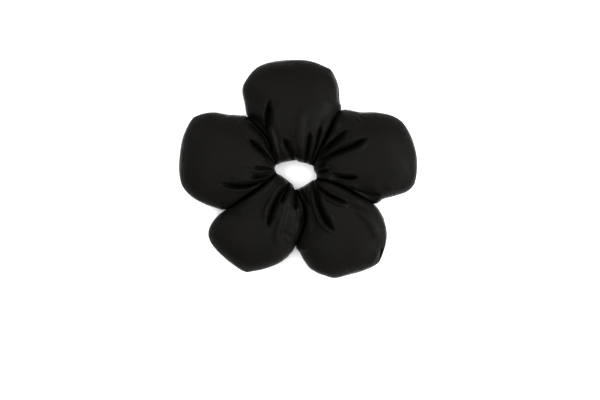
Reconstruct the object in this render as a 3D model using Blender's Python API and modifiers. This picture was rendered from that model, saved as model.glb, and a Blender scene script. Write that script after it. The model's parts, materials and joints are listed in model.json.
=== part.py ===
"""Flower scrunchie: five padded satin petals gathered on a ring of flat elastic.

The flower lies on its back on the plane z = 0, seen from +Z, with petal 1 towards +Y and the others
following counterclockwise. Each petal is a sewn pocket: a front panel, a back panel and the wadding
between them. The inner end of the pocket is a channel, and the elastic runs through all five channels.
Between two channels the elastic is covered by a short gathered neck of the same satin.

Petals are worked out in a frame of their own, in which u runs out from the middle of the hole along the
petal, v runs across it, counterclockwise, and w is the height above the seam between its two panels.
"""

import math

import bmesh
import bpy
from mathutils import Matrix, Vector

MM = 0.001

# Driving dimensions, in millimetres and degrees.
HOLE_CENTRE = Vector((-0.5, -2.4))
SEAM_HEIGHT = 13.5  # the seam between front and back panels, and the middle of the elastic
CLOTH = 0.6  # satin with its seam allowance and gathers
GAP = 0.3  # between pieces that touch

ELASTIC_RADIUS = 18.0  # from the middle of the hole to the straight runs of the elastic
ELASTIC_WIDTH = 6.0
ELASTIC_THICKNESS = 1.2
STRAIGHT_RUN = 7.0  # half the straight run of elastic inside a channel
LAP_LENGTH = 12.0  # where the two ends of the elastic are lapped and sewn together
STITCH_OFFSET = 3.5
STITCH_WIDTH = 1.6
STITCH_THREAD = 0.45

CHANNEL_SWING = 4.9  # free radius round the elastic, so that a petal can turn on it
CHANNEL_FACETS = 8
REACH = 120.0  # how far the cutting helpers run past the part
NECK_RADIUS = 6.2
NECK_WALL = 1.6

# One petal each: direction from the hole, length, and half widths on its two sides.
PETALS = (
    {"axis": 92.0, "length": 72.4, "left": 30.4, "right": 27.6},
    {"axis": 166.0, "length": 75.1, "left": 31.2, "right": 26.6},
    {"axis": 236.0, "length": 69.3, "left": 24.6, "right": 25.4},
    {"axis": 304.0, "length": 73.5, "left": 29.6, "right": 24.6},
    {"axis": 18.0, "length": 76.2, "left": 26.6, "right": 31.6},
)

# Rows of the pocket's cage from the hole to the tip. The first five hold still on every petal: they are
# the channel round the elastic and the shoulder outside it. The rest stretch with length and width.
CHANNEL_ROWS = (
    {"u": 9.4, "half": 5.6, "top": 0.0, "bottom": 0.0},
    {"u": 10.6, "half": 6.5, "top": 7.0, "bottom": 7.0},
    {"u": 18.0, "half": 6.5, "top": 9.6, "bottom": 9.0},
    {"u": 25.8, "half": 5.2, "top": 9.4, "bottom": 8.6},
    {"u": 30.2, "half": 18.2, "top": 11.5, "bottom": 10.5},
)
PETAL_ROWS = (
    {"along": 0.22, "across": 0.93, "top": 14.5, "bottom": 13.5},
    {"along": 0.46, "across": 1.06, "top": 16.4, "bottom": 13.5},
    {"along": 0.74, "across": 1.02, "top": 14.6, "bottom": 13.5},
    {"along": 0.94, "across": 0.68, "top": 8.0, "bottom": 7.0},
    {"along": 1.00, "across": 0.42, "top": 0.0, "bottom": 0.0},
)
# Columns across the cage: share of the half width, then shares of the row's height above and below the
# seam. The back keeps its full depth over the middle columns, where the petal rests flat.
COLUMNS = (
    {"across": -1.0, "top": 0.0, "bottom": 0.0},
    {"across": -0.60, "top": 0.9, "bottom": 1.0},
    {"across": 0.0, "top": 1.0, "bottom": 1.0},
    {"across": 0.60, "top": 0.9, "bottom": 1.0},
    {"across": 1.0, "top": 0.0, "bottom": 0.0},
)
TIP_CORNER_SETBACK = 2.6
RIM_CREASE = 0.75

WADDING_INSET = CLOTH + 0.7
WADDING_START = 24.6  # the wadding stops short of the channel

SATIN = {"colour": (0.012, 0.012, 0.013), "roughness": 0.42}
LINING = {"colour": (0.010, 0.010, 0.011), "roughness": 0.50}
FIBRE = {"colour": (0.86, 0.86, 0.84), "roughness": 0.95}
ELASTIC = {"colour": (0.016, 0.016, 0.017), "roughness": 0.80}
THREAD = {"colour": (0.020, 0.020, 0.021), "roughness": 0.60}


def clear_scene():
    for item in list(bpy.data.objects):
        bpy.data.objects.remove(item, do_unlink=True)


def new_collection(name):
    collection = bpy.data.collections.new(name)
    bpy.context.scene.collection.children.link(collection)
    return collection


def new_material(name, look):
    material = bpy.data.materials.new(name)
    material.use_nodes = True
    shader = material.node_tree.nodes["Principled BSDF"]
    shader.inputs["Base Color"].default_value = (*look["colour"], 1.0)
    shader.inputs["Roughness"].default_value = look["roughness"]
    shader.inputs["Metallic"].default_value = 0.0
    return material


def new_object(name, bm, collection, material=None):
    """Turns a bmesh into an object, with its faces pointing out."""
    bmesh.ops.recalc_face_normals(bm, faces=bm.faces)
    mesh = bpy.data.meshes.new(name)
    bm.to_mesh(mesh)
    bm.free()
    item = bpy.data.objects.new(name, mesh)
    collection.objects.link(item)
    if material:
        mesh.materials.append(material)
    return item


def petal_matrix(petal):
    """Places a petal's own frame: on the elastic, with +X along the petal and +Z up."""
    turn = Matrix.Rotation(math.radians(petal["axis"]), 4, "Z")
    out = turn @ Vector((ELASTIC_RADIUS, 0, 0))
    place = Vector((HOLE_CENTRE.x + out.x, HOLE_CENTRE.y + out.y, SEAM_HEIGHT)) * MM
    return Matrix.Translation(place) @ turn


def pivot_empty(name, petal, collection):
    """The empty on the elastic that a petal turns about."""
    pivot = bpy.data.objects.new(name, None)
    pivot.empty_display_size = 8 * MM
    pivot.matrix_world = petal_matrix(petal)
    collection.objects.link(pivot)
    return pivot


# ---------------------------------------------------------------- pocket of satin

def petal_rows(petal):
    """The cage's rows from the hole to the tip, in millimetres."""
    rows = [{**row, "left": row["half"], "right": row["half"]} for row in CHANNEL_ROWS]
    start = CHANNEL_ROWS[-1]["u"]
    for row in PETAL_ROWS:
        rows.append({
            **row,
            "u": start + row["along"] * (petal["length"] - start),
            "left": row["across"] * petal["left"],
            "right": row["across"] * petal["right"],
        })
    return rows


def add_cage_layer(bm, rows, height_key, side):
    """One face of the cage: a grid bent into shape, above the seam (side 1) or below it (side -1)."""
    last_row, last_column = len(rows) - 1, len(COLUMNS) - 1
    made = bmesh.ops.create_grid(bm, x_segments=last_row, y_segments=last_column, size=1.0)
    for vert in made["verts"]:
        row = round((vert.co.x + 1) / 2 * last_row)
        column = round((vert.co.y + 1) / 2 * last_column)
        across = COLUMNS[column]["across"]
        lift = COLUMNS[column][height_key]
        u = rows[row]["u"]
        if row == last_row:
            u -= TIP_CORNER_SETBACK * across ** 2
        half = rows[row]["left"] if across > 0 else rows[row]["right"]
        height = side * lift * rows[row][height_key]
        vert.co = Vector((u - ELASTIC_RADIUS, across * half, height)) * MM


def pocket_cage(petal):
    """Closed coarse cage of a petal: two layers that meet along the rim, which is creased."""
    bm = bmesh.new()
    rows = petal_rows(petal)
    add_cage_layer(bm, rows, "top", 1)
    add_cage_layer(bm, rows, "bottom", -1)
    bmesh.ops.remove_doubles(bm, verts=bm.verts, dist=0.01 * MM)
    crease = bm.edges.layers.float.new("crease_edge")
    for edge in bm.edges:
        if all(abs(vert.co.z) < 0.01 * MM for vert in edge.verts):
            edge[crease] = RIM_CREASE
    return bm


def add_subdivision(item):
    smooth = item.modifiers.new("Rounded", "SUBSURF")
    smooth.levels = 1
    smooth.render_levels = 1
    smooth.use_limit_surface = False  # keeps the resting patch flat


def add_cut(item, cutter, operation="DIFFERENCE"):
    cut = item.modifiers.new("Cut " + cutter.name, "BOOLEAN")
    cut.operation = operation
    cut.object = cutter
    cut.solver = "EXACT"


def box_cutter(name, low, high, pivot, collection):
    """A box between two corners, given in millimetres in the petal's own frame."""
    bm = bmesh.new()
    bmesh.ops.create_cube(bm, size=1.0)
    low, high = Vector(low) * MM, Vector(high) * MM
    for vert in bm.verts:
        vert.co = Vector([(low[k] + high[k]) / 2 + vert.co[k] * (high[k] - low[k]) for k in range(3)])
    item = new_object(name, bm, collection)
    hide_helper(item, pivot)
    return item


def seam_cutter(name, side, pivot, collection):
    """Takes away the other panel's half, and half of the channel that the elastic runs through.

    The outline is a large box up to the seam, with a half round ridge over the elastic. Side is 1 for the
    front panel's cutter, which lies below the seam, and -1 for the back panel's.
    """
    edge = GAP / 2
    first = math.asin(edge / CHANNEL_SWING)
    outline = [(REACH, -REACH), (REACH, edge)]
    for k in range(CHANNEL_FACETS + 1):
        angle = first + (math.pi - 2 * first) * k / CHANNEL_FACETS
        outline.append((CHANNEL_SWING * math.cos(angle), CHANNEL_SWING * math.sin(angle)))
    outline += [(-REACH, edge), (-REACH, -REACH)]
    bm = bmesh.new()
    near = [bm.verts.new(Vector((u, -REACH, side * w)) * MM) for u, w in outline]
    face = bm.faces.new(near)
    swept = bmesh.ops.extrude_face_region(bm, geom=[face])
    for item in swept["geom"]:
        if isinstance(item, bmesh.types.BMVert):
            item.co.y = REACH * MM
    item = new_object(name, bm, collection)
    hide_helper(item, pivot)
    return item


def hide_helper(item, pivot):
    item.hide_render = True
    item.display_type = "WIRE"
    item.parent = pivot


def make_petal(number, petal, parts, helpers, looks):
    """Front panel, back panel and wadding of one petal, all hung on an empty on the elastic."""
    pivot = pivot_empty(f"petal_{number}_pivot", petal, parts)
    inner_end = box_cutter(
        f"inner_end_{number}", (-REACH, -REACH, -REACH),
        (WADDING_START - ELASTIC_RADIUS, REACH, REACH), pivot, helpers)

    for side_name, side in (("front", 1), ("back", -1)):
        panel = new_object(f"petal_{number}_{side_name}", pocket_cage(petal), parts, looks["satin"])
        panel.parent = pivot
        add_subdivision(panel)
        shell = panel.modifiers.new("Cloth", "SOLIDIFY")
        shell.thickness = CLOTH * MM
        shell.offset = -1.0
        add_cut(panel, seam_cutter(f"seam_{number}_{side_name}", side, pivot, helpers))
        panel.data.shade_smooth()

    wadding = new_object(f"petal_{number}_wadding", pocket_cage(petal), parts, looks["fibre"])
    wadding.parent = pivot
    add_subdivision(wadding)
    inset = wadding.modifiers.new("Inset", "DISPLACE")
    inset.strength = -WADDING_INSET * MM
    inset.mid_level = 0.0
    add_cut(wadding, inner_end)
    wadding.data.shade_smooth()


# ---------------------------------------------------------------- ring of elastic

def corner_of(first, second):
    """Centre, radius and turn of the bend of the elastic between two petals, in the flower's frame."""
    turn = math.radians((second["axis"] - first["axis"]) % 360)
    slope = math.tan(turn / 2)
    radius = ELASTIC_RADIUS - STRAIGHT_RUN / slope
    direction = math.radians(first["axis"]) + turn / 2
    distance = (ELASTIC_RADIUS - radius) / math.cos(turn / 2)
    centre = Vector((
        HOLE_CENTRE.x + distance * math.cos(direction),
        HOLE_CENTRE.y + distance * math.sin(direction),
        SEAM_HEIGHT,
    ))
    return centre, radius, math.radians(first["axis"]), turn


def arc_points(centre, radius, start, turn, steps):
    """Points along part of a circle, counterclockwise from the angle start."""
    return [
        centre + radius * Vector((math.cos(start + turn * k / steps), math.sin(start + turn * k / steps), 0))
        for k in range(steps + 1)
    ]


def band(name, points, parts, material):
    """A flat band standing on its edge along a path in the plane of the seam."""
    bm = bmesh.new()
    bottom = [bm.verts.new((p - Vector((0, 0, ELASTIC_WIDTH / 2))) * MM) for p in points]
    bottom_edges = [bm.edges.new(pair) for pair in zip(bottom, bottom[1:])]
    rise = Vector((0, 0, ELASTIC_WIDTH)) * MM
    top = bmesh.ops.extrude_edge_only(bm, edges=bottom_edges)["geom"]
    for item in top:
        if isinstance(item, bmesh.types.BMVert):
            item.co += rise
    item = new_object(name, bm, parts, material)
    thick = item.modifiers.new("Band", "SOLIDIFY")
    thick.thickness = ELASTIC_THICKNESS * MM
    thick.offset = 0.0
    thick.use_even_offset = True
    return item


def make_elastic(parts, helpers, looks):
    """Five arcs of one loop of flat elastic, divided in the middle of each bend between two petals."""
    count = len(PETALS)
    for k, petal in enumerate(PETALS):
        before, after = PETALS[k - 1], PETALS[(k + 1) % count]
        points = []
        for first, second, half in ((before, petal, "last"), (petal, after, "first")):
            centre, radius, start, turn = corner_of(first, second)
            slack = GAP / 2 / radius
            if half == "last":
                points += arc_points(centre, radius, start + turn / 2 + slack, turn / 2 - slack, 3)
            else:
                points += arc_points(centre, radius, start, turn / 2 - slack, 3)
        arc = band(f"elastic_{k + 1}", points, parts, looks["elastic"])
        if k == 0:
            add_lap(arc, petal, helpers)
            make_join_stitches(petal, parts, looks)


def add_lap(arc, petal, helpers):
    """The second layer where the two ends of the elastic are lapped, on the inner side of petal 1's run."""
    pivot = bpy.data.objects.new("lap_place", None)
    pivot.matrix_world = petal_matrix(petal)
    helpers.objects.link(pivot)
    half = ELASTIC_THICKNESS / 2
    lap = box_cutter(
        "elastic_lap",
        (-half - ELASTIC_THICKNESS, -LAP_LENGTH / 2, -ELASTIC_WIDTH / 2 + 0.2),
        (-half + 0.4, LAP_LENGTH / 2, ELASTIC_WIDTH / 2 - 0.2),
        pivot, helpers)
    add_cut(arc, lap, "UNION")


def make_join_stitches(petal, parts, looks):
    """Two bar tacks of thread wound round the lapped ends of the elastic."""
    layers = (-1.5 * ELASTIC_THICKNESS, 0.5 * ELASTIC_THICKNESS)
    for number, side in ((1, -1), (2, 1)):
        bm = bmesh.new()
        bmesh.ops.create_cube(bm, size=1.0)
        for vert in bm.verts:
            reach = GAP + STITCH_THREAD
            vert.co = Vector((
                layers[0] - reach if vert.co.x < 0 else layers[1] + reach,
                side * STITCH_OFFSET + vert.co.y * STITCH_WIDTH,
                vert.co.z * 2 * (ELASTIC_WIDTH / 2 + reach),
            )) * MM
        open_sides = [face for face in bm.faces if abs(face.normal.y) > 0.5]
        bmesh.ops.delete(bm, geom=open_sides, context="FACES_ONLY")
        tack = new_object(f"elastic_bar_tack_{number}", bm, parts, looks["thread"])
        tack.matrix_world = petal_matrix(petal)
        thread = tack.modifiers.new("Thread", "SOLIDIFY")
        thread.thickness = STITCH_THREAD * MM
        thread.offset = -1.0
        thread.use_even_offset = True


def make_necks(parts, looks):
    """Gathered sleeves of satin round the bends of the elastic, between one petal's channel and the next."""
    count = len(PETALS)
    for k, petal in enumerate(PETALS):
        after = PETALS[(k + 1) % count]
        centre, radius, start, turn = corner_of(petal, after)
        bm = bmesh.new()
        ring = bmesh.ops.create_circle(bm, cap_ends=False, segments=12, radius=NECK_RADIUS * MM)
        toward = Vector((math.cos(start), math.sin(start), 0))
        for vert in ring["verts"]:
            vert.co = (centre + radius * toward) * MM + toward * vert.co.x + Vector((0, 0, vert.co.y))
        bmesh.ops.spin(
            bm, geom=bm.edges[:], cent=centre * MM, axis=(0, 0, 1), angle=turn, steps=5)
        next_number = (k + 1) % count + 1
        neck = new_object(f"neck_{k + 1}_{next_number}", bm, parts, looks["lining"])
        wall = neck.modifiers.new("Cloth", "SOLIDIFY")
        wall.thickness = NECK_WALL * MM
        wall.offset = -1.0
        neck.data.shade_smooth()


def main():
    clear_scene()
    parts = new_collection("flower_scrunchie")
    helpers = new_collection("helpers")
    looks = {
        "satin": new_material("black_satin", SATIN),
        "lining": new_material("black_satin_gathered", LINING),
        "fibre": new_material("polyester_wadding", FIBRE),
        "elastic": new_material("black_knitted_elastic", ELASTIC),
        "thread": new_material("black_thread", THREAD),
    }
    for number, petal in enumerate(PETALS, start=1):
        make_petal(number, petal, parts, helpers, looks)
    make_elastic(parts, helpers, looks)
    make_necks(parts, looks)


main()
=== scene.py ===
# %% [markdown]
# # A padded satin flower scrunchie
#
# The object is a hair tie: five padded petals of black satin on a loop of flat elastic. Its hard facts,
# such as where the elastic runs and what turns about what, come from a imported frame. This script gives it
# its cloth. Every length below is in millimetres until it is turned to metres, which is what Blender
# counts in.

# %% Load the frame
import json
import math

import bmesh
import bpy
import numpy as np
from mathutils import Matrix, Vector, noise


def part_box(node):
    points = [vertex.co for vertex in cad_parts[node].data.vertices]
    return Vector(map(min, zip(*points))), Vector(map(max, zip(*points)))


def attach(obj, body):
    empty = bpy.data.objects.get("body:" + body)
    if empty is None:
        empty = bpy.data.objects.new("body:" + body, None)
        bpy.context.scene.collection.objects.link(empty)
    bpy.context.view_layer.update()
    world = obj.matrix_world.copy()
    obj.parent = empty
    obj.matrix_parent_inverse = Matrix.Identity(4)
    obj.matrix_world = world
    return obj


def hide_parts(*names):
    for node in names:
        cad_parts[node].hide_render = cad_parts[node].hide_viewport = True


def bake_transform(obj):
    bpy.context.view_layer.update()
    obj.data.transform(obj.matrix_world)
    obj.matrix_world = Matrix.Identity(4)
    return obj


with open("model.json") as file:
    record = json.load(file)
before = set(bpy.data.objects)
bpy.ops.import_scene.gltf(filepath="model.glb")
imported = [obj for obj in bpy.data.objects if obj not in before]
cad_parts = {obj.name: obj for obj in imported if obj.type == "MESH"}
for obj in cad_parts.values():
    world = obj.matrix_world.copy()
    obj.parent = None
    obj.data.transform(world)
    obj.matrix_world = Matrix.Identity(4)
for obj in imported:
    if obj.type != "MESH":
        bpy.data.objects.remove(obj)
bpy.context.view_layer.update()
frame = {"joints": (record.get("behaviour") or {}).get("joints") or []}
MM = 0.001
joints = {joint["name"]: joint for joint in frame["joints"]}
SEAM_Z = joints["petal_1_tilt"]["pos_m"][2] / MM
print("seam height:", SEAM_Z, "mm")

# %% [markdown]
# ## Camera, floor and light
#
# The flower lies flat on a pale table and is looked at from straight above through a long lens, so that
# its raised parts are hardly bigger than its rim. One big soft light hangs overhead. Two smaller ones
# stand low at the left and the right. They graze the black cloth, and that is what picks out the crest of
# each fold.

# %% Camera
FRAME_WIDTH = 378.0  # what the camera sees across the table
LENS = 90.0
SENSOR = 36.0
AIM = Vector((1.0, -19.2))  # the middle of the view, beside and below the flower


def add_object(name, data):
    """A new object in the scene."""
    made = bpy.data.objects.new(name, data)
    bpy.context.scene.collection.objects.link(made)
    return made


camera_data = bpy.data.cameras.new("camera")
camera_data.lens = LENS
camera_data.sensor_width = SENSOR
camera = add_object("camera", camera_data)
camera.location = (AIM.x * MM, AIM.y * MM, (SEAM_Z + FRAME_WIDTH * LENS / SENSOR) * MM)
bpy.context.scene.camera = camera
bpy.context.scene.view_settings.view_transform = "Standard"
print("camera height:", round(camera.location.z, 3), "m")


# %% Helpers for colours and nodes
def linear(hex_colour):
    """An sRGB hex colour as linear RGBA."""
    parts = [int(hex_colour[k:k + 2], 16) / 255 for k in (1, 3, 5)]
    return [p / 12.92 if p <= 0.04045 else ((p + 0.055) / 1.055) ** 2.4 for p in parts] + [1.0]


def node(tree, kind, settings=None, **inputs):
    """Adds a node, sets its properties, and fills or links its inputs by name."""
    made = tree.nodes.new(kind)
    for name, value in (settings or {}).items():
        setattr(made, name, value)
    for name, value in inputs.items():
        socket = made.inputs[int(name[1:]) if name[1:].isdigit() else name.replace("_", " ")]
        if isinstance(value, bpy.types.NodeSocket):
            tree.links.new(value, socket)
        else:
            socket.default_value = value
    return made


def blank_material(name):
    """A material whose node tree holds only an output, and the tree."""
    material = bpy.data.materials.new(name)
    material.use_nodes = True
    material.node_tree.nodes.clear()
    return material, material.node_tree


# %% Floor
FLOOR_HALF = 4.0  # metres, far past the edges of the view


def mesh_from(bm, name):
    """Turns an edited mesh into finished mesh data."""
    mesh = bpy.data.meshes.new(name)
    bm.to_mesh(mesh)
    bm.free()
    return mesh


def make_floor():
    """Uncoated white card: matt, with no grain that shows at this distance."""
    bm = bmesh.new()
    bmesh.ops.create_grid(bm, x_segments=1, y_segments=1, size=FLOOR_HALF)
    floor = add_object("table_top", mesh_from(bm, "table_top"))
    material, tree = blank_material("white_card")
    shader = node(tree, "ShaderNodeBsdfPrincipled", Base_Color=linear("#F6F6F6"), Roughness=0.9)
    node(tree, "ShaderNodeOutputMaterial", Surface=shader.outputs[0])
    floor.data.materials.append(material)


make_floor()
print("floor:", 2 * FLOOR_HALF, "m across")


# %% Lights
def make_light(name, place, size, watts):
    """A square soft light, placed and sized in metres and aimed at the flower."""
    data = bpy.data.lights.new(name, "AREA")
    data.shape = "SQUARE"
    data.size = size
    data.energy = watts
    light = add_object(name, data)
    light.location = place
    light.rotation_euler = (-Vector(place)).to_track_quat("-Z", "Y").to_euler()
    print(name, "is", round(light.location.length, 2), "m from the flower and gives", watts, "W")


make_light("overhead_softbox", (-0.1, 0.02, 1.4), 1.2, 30.0)
make_light("left_softbox", (-0.9, 0.6, 0.8), 0.35, 9.0)
make_light("right_softbox", (1.05, -0.1, 0.7), 0.4, 32.0)
world = bpy.data.worlds.new("studio")
world.use_nodes = True
room = world.node_tree.nodes["Background"]
room.inputs["Color"].default_value = linear("#FFFFFF")
room.inputs["Strength"].default_value = 0.5
bpy.context.scene.world = world

# %% [markdown]
# ## The shape of the five petals
#
# Each petal is a pouch sewn from two panels and turned right side out. Seen from above, the sewn seam is
# the petal's outline, and where two petals press together they share a line that runs from the hole to
# the notch between them. So the flower is drawn as these shared valleys, five outer outlines and the edge
# of the hole. All points are measured from the middle of the hole, with petal 1 up and the others
# following counterclockwise. A valley's points run outward from the hole.

# %% Outlines
HOLE = np.array((-1.4, -2.85))
VALLEYS = {
    (1, 2): ((-12.8, 5.8), (-14.8, 13), (-17.5, 22), (-24, 29.5), (-30.5, 36)),
    (2, 3): ((-12.4, 0.6), (-17.5, -4), (-24, -9.3), (-34.4, -16.4), (-44, -22.2)),
    (3, 4): ((-0.8, -9.8), (2.8, -15.5), (5.6, -23), (5, -33), (0, -45)),
    (4, 5): ((12.8, -3), (25, -6.5), (37, -12.6), (48.8, -18.8)),
    (5, 1): ((10.6, 5.3), (15.2, 15.5), (21.2, 27.7), (28, 40)),
}
# For each petal: the side up to its right-hand corner, the tip, and the side from its left-hand corner.
OUTLINES = {
    1: (((27.6, 46), (27.2, 54), (25, 61)), ((21, 66.5), (9, 71.6), (-3, 72.2), (-15, 71), (-24.5, 67.5)),
        ((-31.5, 60), (-34.2, 53), (-32.5, 44))),
    2: (((-36, 37), (-43, 37.6), (-52, 39.2), (-60, 38)),
        ((-66, 34.5), (-71, 25), (-73.4, 14), (-74, 2), (-72, -7.5)),
        ((-66, -14.5), (-58, -19), (-51, -21.3))),
    3: (((-49, -25.5), (-53.5, -31), (-55.6, -37)),
        ((-53.8, -43.5), (-47.5, -51), (-39, -58), (-32.5, -61.8)),
        ((-26, -61.4), (-18, -59.5), (-10, -56), (-4.5, -51.2))),
    4: (((2, -49.5), (5, -55), (9, -60)),
        ((15, -62.8), (23.5, -65.9), (33, -63.8), (43, -61), (51.5, -56.5)),
        ((55.5, -48.5), (57.4, -40), (56.6, -32), (53.5, -24.5))),
    5: (((55, -16), (63, -13.8), (70.5, -11)),
        ((75, -5.5), (76.5, 4), (75.8, 14), (72.5, 24.5), (67.5, 32.5)),
        ((61, 37), (51, 39.2), (40, 39.2))),
}
HOLE_EDGES = {
    1: ((6, 6.8), (1.5, 7.8), (-0.2, 8.7), (-5, 8), (-9, 7.2)),
    2: ((-13.4, 3.4),),
    3: ((-8.5, -1.6), (-4.5, -4.7), (-2, -6.9)),
    4: ((3, -8.5), (7, -6.2), (9.6, -4.3)),
    5: ((12.7, -0.4), (11.3, 2.4)),
}
PETALS = sorted(OUTLINES)
points_used = sum(len(part) for sides in OUTLINES.values() for part in sides)
print(len(PETALS), "petals outlined by", points_used, "points, and", len(VALLEYS), "valleys between them")


def smooth_line(points, count):
    """Evenly spaced points along a smooth curve through the given ones."""
    p = np.array(points, float)
    padded = np.vstack([2 * p[0] - p[1], p, 2 * p[-1] - p[-2]])
    pieces = []
    steps = np.linspace(0, 1, 24, endpoint=False)[:, None]
    for a, b, c, d in zip(padded, padded[1:], padded[2:], padded[3:]):
        pieces.append(0.5 * (
            2 * b + (c - a) * steps + (2 * a - 5 * b + 4 * c - d) * steps ** 2
            + (3 * b - a - 3 * c + d) * steps ** 3
        ))
    line = np.vstack(pieces + [p[-1:]])
    length = np.concatenate([[0], np.cumsum(np.linalg.norm(np.diff(line, axis=0), axis=1))])
    wanted = np.linspace(0, length[-1], count)
    return np.stack([np.interp(wanted, length, line[:, k]) for k in range(2)], axis=1)


# %% [markdown]
# ## Folds
#
# The cloth of each pouch is wider than the elastic lets it be, so it folds near the hole. The folds are
# narrow troughs that run out from the hole and end in a soft point, and the cloth stands up a little on
# both sides of each. Every one is given as a line from its outer end to the hole, with its depth
# and half width. A negative depth is a soft ridge instead.

# %% Fold lines
FOLDS = {
    1: (
        (((-16.8, 47.5), (-17.1, 38.4), (-17.8, 31), (-18, 24.4), (-16.2, 17.8), (-12.6, 10)), 6.0, 1.5),
        (((-8.6, 22), (-6.5, 19), (-4.3, 14.5), (-2, 9)), 4.2, 1.5),
        (((8.6, 27), (7.6, 18), (6, 8.4)), 3.6, 1.3),
        (((15.6, 31), (13, 19), (9.2, 8)), 3.8, 1.1),
        (((-29, 37.5), (-25.5, 33.5), (-21.5, 29.5), (-18.6, 25), (-16.4, 18)), 7.0, 1.9),
        (((3, 42), (2.4, 26), (1.5, 12)), -1.3, 3.0),
        (((-12.5, 46), (-12.8, 32), (-11, 18)), -1.2, 2.6),
        (((20.5, 64), (23, 58), (24.2, 52), (24.4, 44)), -1.6, 2.4),
        (((26.4, 57), (26.6, 52), (26.2, 46)), 2.4, 0.8),
    ),
    2: (
        (((-30.5, 22.6), (-25.3, 17.2), (-20.4, 12.9), (-14, 5.6)), 5.4, 1.5),
        (((-22, 23), (-18.5, 17.5), (-14, 9.5)), 3.0, 0.9),
        (((-49, -6), (-38.6, -7.9), (-31.4, -7.5), (-25.3, -5.9), (-19.2, -3.4), (-14, -0.3)), 5.4, 1.2),
        (((-28.8, -2.4), (-22.9, -2.1), (-18, -0.4), (-14.4, 1)), 4.4, 1.2),
        (((-27, 3.4), (-20, 3.2), (-14.6, 2.6)), 2.4, 1.0),
        (((-42, -1.5), (-32, -3.6), (-24, -3.2)), -1.0, 1.8),
        (((-31, 33.5), (-25, 27.6), (-20, 21.5), (-16.6, 14)), 4.0, 1.6),
    ),
    3: (
        (((-17.6, -34.5), (-16.2, -27), (-13.8, -19.8), (-10.2, -12.5), (-5, -7)), 5.8, 1.6),
        (((-9.4, -18.4), (-8, -15), (-5, -9.5)), 4.2, 1.2),
        (((-0.2, -23), (-0.4, -18), (-0.8, -11)), 4.6, 1.4),
        (((-13.5, -45), (-11, -34), (-8.5, -25), (-5.2, -14)), -1.8, 2.2),
        (((-20, -29), (-17.5, -20), (-12, -12.5)), -1.2, 1.8),
        (((-1, -48), (1.6, -40), (3.4, -31), (3, -22)), 3.6, 2.8),
    ),
    4: (
        (((24.5, -36), (21, -32.6), (17, -26.4), (14, -19.4), (12.4, -12.5), (11.4, -6)), 6.0, 1.5),
        (((33, -18.2), (29, -17.4), (24, -15.4), (19.5, -12.8), (15, -9.6), (11.6, -5.6)), 4.8, 1.1),
        (((8, -21), (5.8, -15), (3, -9)), 2.0, 1.0),
        (((24, -38), (18, -33.6), (13.4, -28), (10.4, -18), (9.4, -9)), -1.8, 1.2),
        (((35, -18.6), (30, -19.4), (24, -18), (18, -14.6), (14, -10.6)), -1.3, 1.1),
        (((33, -19), (40, -23.6), (46, -30), (49.6, -37), (50, -45)), -2.4, 2.8),
        (((46, -58), (49.4, -53), (51.4, -46)), -0.9, 1.6),
        (((52, -54), (53, -50), (53.4, -45)), 1.5, 1.0),
    ),
    5: (
        (((45.5, 23.2), (36.5, 17.9), (29.2, 14.8), (20.7, 11.1), (12, 5.6)), 6.0, 1.6),
        (((32.5, 28), (24.4, 20.2), (17.7, 14.6), (11.8, 8)), 5.2, 1.5),
        (((39, -2.6), (33, -2.5), (28, -1.9), (23, -1)), 4.8, 1.15),
        (((19, 7.4), (15.5, 4.8), (12, 2.6)), 3.4, 1.0),
        (((20, 1.8), (13, 0.8)), 2.4, 0.9),
        (((54, -13.2), (46, -13.2), (38, -10.6), (31, -7.6)), 2.2, 2.4),
        (((52, -8.6), (62, -9.6), (71, -5), (73.6, 6)), -1.2, 3.0),
    ),
}
depths = [deepest for folds in FOLDS.values() for _, deepest, _ in folds]
print(sum(d > 0 for d in depths), "folds and", sum(d < 0 for d in depths), "ridges")

# %% [markdown]
# ## Filling the pouches
#
# A pouch is first laid out as a grid between its four sides, once for the front panel and once for the
# back, and raised into a rough cushion with the fold lines pressed in. The flat pattern that it was cut
# from is kept as the cloth's rest shape. It is longer than the cushion's curve and much wider near the
# hole, which is what makes the cloth gather. Blender's cloth solver then blows the pouch up with air
# instead of wadding: the spare cloth runs into the folds and the seams pucker a little, as on a real one.
# The solver likes sizes of about a metre, so the pouch is simulated ten times as large.

# %% Lay out a pouch
ROWS, COLUMNS = 60, 54  # about one grid cell per millimetre
RIM_POINTS = 900  # a fine line round the petal, from which the sides are cut


def neighbours(petal):
    """The petals on the right-hand and left-hand side of this one."""
    return (petal - 1) or 5, petal % 5 + 1


def plan_grid(petal):
    """The pouch seen from above: rows from the hole to the tip, columns from right to left."""
    before, after = neighbours(petal)
    right_valley, left_valley = VALLEYS[(before, petal)], VALLEYS[(petal, after)]
    right_side, tip, left_side = OUTLINES[petal]
    rim = smooth_line([*right_valley, *right_side, *tip, *left_side, *reversed(left_valley)], RIM_POINTS)
    corners = [int(np.argmin(np.linalg.norm(rim - np.array(point), axis=1))) for point in (tip[0], tip[-1])]
    right = smooth_line(rim[:corners[0] + 1:6], ROWS)
    top = smooth_line(rim[corners[0]:corners[1] + 1:6], COLUMNS)
    left = smooth_line(rim[:corners[1] - 1:-6], ROWS)
    right[-1], left[-1] = top[0], top[-1]
    root = smooth_line([right_valley[0], *HOLE_EDGES[petal], left_valley[0]], COLUMNS)
    right[0], left[0] = root[0], root[-1]
    s = np.linspace(0, 1, ROWS)[:, None, None]
    t = np.linspace(0, 1, COLUMNS)[None, :, None]
    sides = (1 - t) * right[:, None] + t * left[:, None]
    ends = (1 - s) * root[None] + s * top[None]
    corner_share = (1 - s) * ((1 - t) * root[0] + t * root[-1]) + s * ((1 - t) * top[0] + t * top[-1])
    return sides + ends - corner_share


print("plan grid:", plan_grid(1).shape, "cells of about",
      round(float(np.linalg.norm(np.diff(plan_grid(1), axis=0), axis=2).mean()), 2), "mm")

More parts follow.
